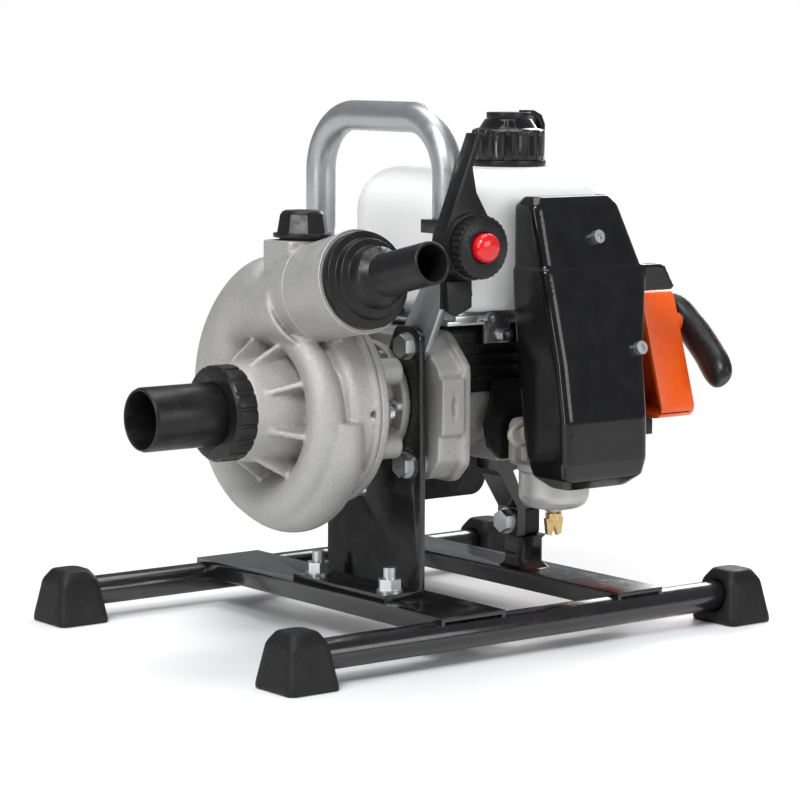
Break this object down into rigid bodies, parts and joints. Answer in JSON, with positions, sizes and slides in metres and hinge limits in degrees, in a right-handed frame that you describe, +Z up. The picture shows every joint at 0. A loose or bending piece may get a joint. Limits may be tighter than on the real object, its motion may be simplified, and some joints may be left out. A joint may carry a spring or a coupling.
{
  "type": "portable fire pump",
  "caption": "Portable fire pump: small two-stroke engine with recoil starter driving a centrifugal pump, on a tubular skid with rubber feet and a carrying handle.",
  "frame": {"origin": "centre of the machine's overall box, on the ground under the rubber feet", "axes": "+Z up; +X along the crankshaft from the suction side to the recoil starter; -Y the side of the discharge and air cleaner"},
  "size_m": [0.401, 0.3028, 0.3318],
  "materials": {
    "black_paint": "gloss",
    "silver_paint": "satin metallic",
    "zinc_steel": "zinc plated",
    "bright_steel": "ground",
    "dark_steel": "heat-resistant matt",
    "cast_alloy": "as cast, sand-blasted",
    "brass": "turned",
    "rubber": "matt",
    "black_plastic": "fine grain",
    "gloss_black": "gloss moulded",
    "orange_plastic": "satin moulded",
    "red_plastic": "gloss moulded",
    "tank_plastic": "translucent blow-moulded",
    "clear_hose": "translucent",
    "foam": "open-cell foam",
    "rope": "braided"
  },
  "bodies": {
    "frame": {"skid_rails": "black_paint", "pump_crossbar": "black_paint", "engine_crossbar": "black_paint", "rubber_feet": "rubber", "mounting_plate": "black_paint", "plate_foot_studs": "zinc_steel", "carry_handle": "silver_paint", "frame_bolts": "zinc_steel", "volute_casing": "cast_alloy", "suction_barb": "black_plastic", "suction_collar": "black_plastic", "discharge_barb": "black_plastic", "pump_back_cover": "cast_alloy", "casing_screws": "zinc_steel", "main_bearings": "bright_steel", "fan_housing": "cast_alloy", "crankcase_front": "cast_alloy", "crankcase_rear": "cast_alloy", "cylinder": "cast_alloy", "spark_plug": "bright_steel", "muffler": "dark_steel", "cooling_shroud": "black_plastic", "ignition_coil": "black_plastic", "intake_block": "black_plastic", "carburettor": "cast_alloy", "float_bowl": "zinc_steel", "drain_screw": "brass", "fuel_hose": "clear_hose", "air_cleaner_cover": "gloss_black", "air_cleaner_base": "black_plastic", "filter_element": "foam", "panel_screws": "zinc_steel", "fuel_tank": "tank_plastic", "tank_bracket": "zinc_steel", "cap_strap": "black_plastic", "throttle_clamp": "black_plastic", "starter_base": "black_plastic", "starter_housing": "orange_plastic", "starter_rope": "rope", "engine_arm": "black_paint", "mount_rubber": "rubber"},
    "rotor": {"crankshaft_halves": "bright_steel", "flywheel": "cast_alloy", "impeller": "cast_alloy", "seal_head": "rubber", "starter_cup": "bright_steel"},
    "piston_group": {"piston": "cast_alloy", "connecting_rod": "bright_steel", "rod_pins": "bright_steel"},
    "throttle_lever": {"throttle_lever": "black_plastic"},
    "carburettor_throttle": {"throttle_spindle": "bright_steel"},
    "choke": {"choke_spindle": "bright_steel"},
    "dial": {"throttle_dial": "black_plastic"},
    "stop_button": {"stop_button": "red_plastic"},
    "plug_seal": {"priming_gasket": "rubber"},
    "plug": {"priming_plug": "black_plastic"},
    "cap_seal": {"cap_gasket": "rubber"},
    "cap": {"fuel_cap": "gloss_black"},
    "pulley": {"rope_pulley": "black_plastic"},
    "grip": {"pull_grip": "black_plastic"}
  },
  "joints": [
    {"name": "crank_turn", "type": "hinge", "parent": "frame", "child": "rotor", "pos_m": [0, -0.014, 0.147], "axis": [1, 0, 0], "continuous": true},
    {"name": "piston_slide", "type": "slide", "parent": "frame", "child": "piston_group", "axis": [0, 1, 0], "range_m": [-0.034, 0]},
    {"name": "throttle_swing", "type": "hinge", "parent": "frame", "child": "throttle_lever", "pos_m": [-0.023, -0.092, 0.247], "axis": [0, 1, 0], "range_deg": [-55, 0]},
    {"name": "carburettor_throttle", "type": "hinge", "parent": "frame", "child": "carburettor_throttle", "pos_m": [0.0605, -0.074, 0.121], "axis": [1, 0, 0], "range_deg": [0, 75]},
    {"name": "choke_swing", "type": "hinge", "parent": "frame", "child": "choke", "pos_m": [0.0605, -0.095, 0.121], "axis": [1, 0, 0], "range_deg": [-75, 0]},
    {"name": "dial_turn", "type": "hinge", "parent": "frame", "child": "dial", "pos_m": [-0.023, -0.104, 0.247], "axis": [0, 1, 0], "range_deg": [-180, 180]},
    {"name": "stop_press", "type": "slide", "parent": "dial", "child": "stop_button", "axis": [0, 1, 0], "range_m": [0, 0.003], "stiffness_N_per_m": 600, "springref_m": -0.001},
    {"name": "plug_lift", "type": "slide", "parent": "frame", "child": "plug_seal", "axis": [0, 0, 1], "range_m": [0, 0.0061]},
    {"name": "plug_turn", "type": "hinge", "parent": "plug_seal", "child": "plug", "pos_m": [-0.0895, -0.022, 0.2509], "axis": [0, 0, 1], "range_deg": [0, 720]},
    {"name": "cap_lift", "type": "slide", "parent": "frame", "child": "cap_seal", "axis": [0, 0, 1], "range_m": [0, 0.0061], "deforming": ["cap_strap"]},
    {"name": "cap_turn", "type": "hinge", "parent": "cap_seal", "child": "cap", "pos_m": [0.0775, -0.014, 0.3], "axis": [0, 0, 1], "range_deg": [0, 720]},
    {"name": "grip_pull", "type": "slide", "parent": "frame", "child": "grip", "axis": [1, 0, 0], "range_m": [0, 0.55], "stiffness_N_per_m": 12, "springref_m": -0.4, "deforming": ["starter_rope"]},
    {"name": "pulley_turn", "type": "hinge", "parent": "frame", "child": "pulley", "pos_m": [0.1455, -0.014, 0.147], "axis": [1, 0, 0], "range_deg": [0, 1440]}
  ],
  "couplings": [
    {"joint": "carburettor_throttle", "follows": "throttle_swing", "ratio": -1.3},
    {"joint": "plug_lift", "follows": "plug_turn", "m_per_rad": 0.00047746},
    {"joint": "cap_lift", "follows": "cap_turn", "m_per_rad": 0.00047746},
    {"joint": "pulley_turn", "follows": "grip_pull", "rad_per_m": 45.66}
  ]
}
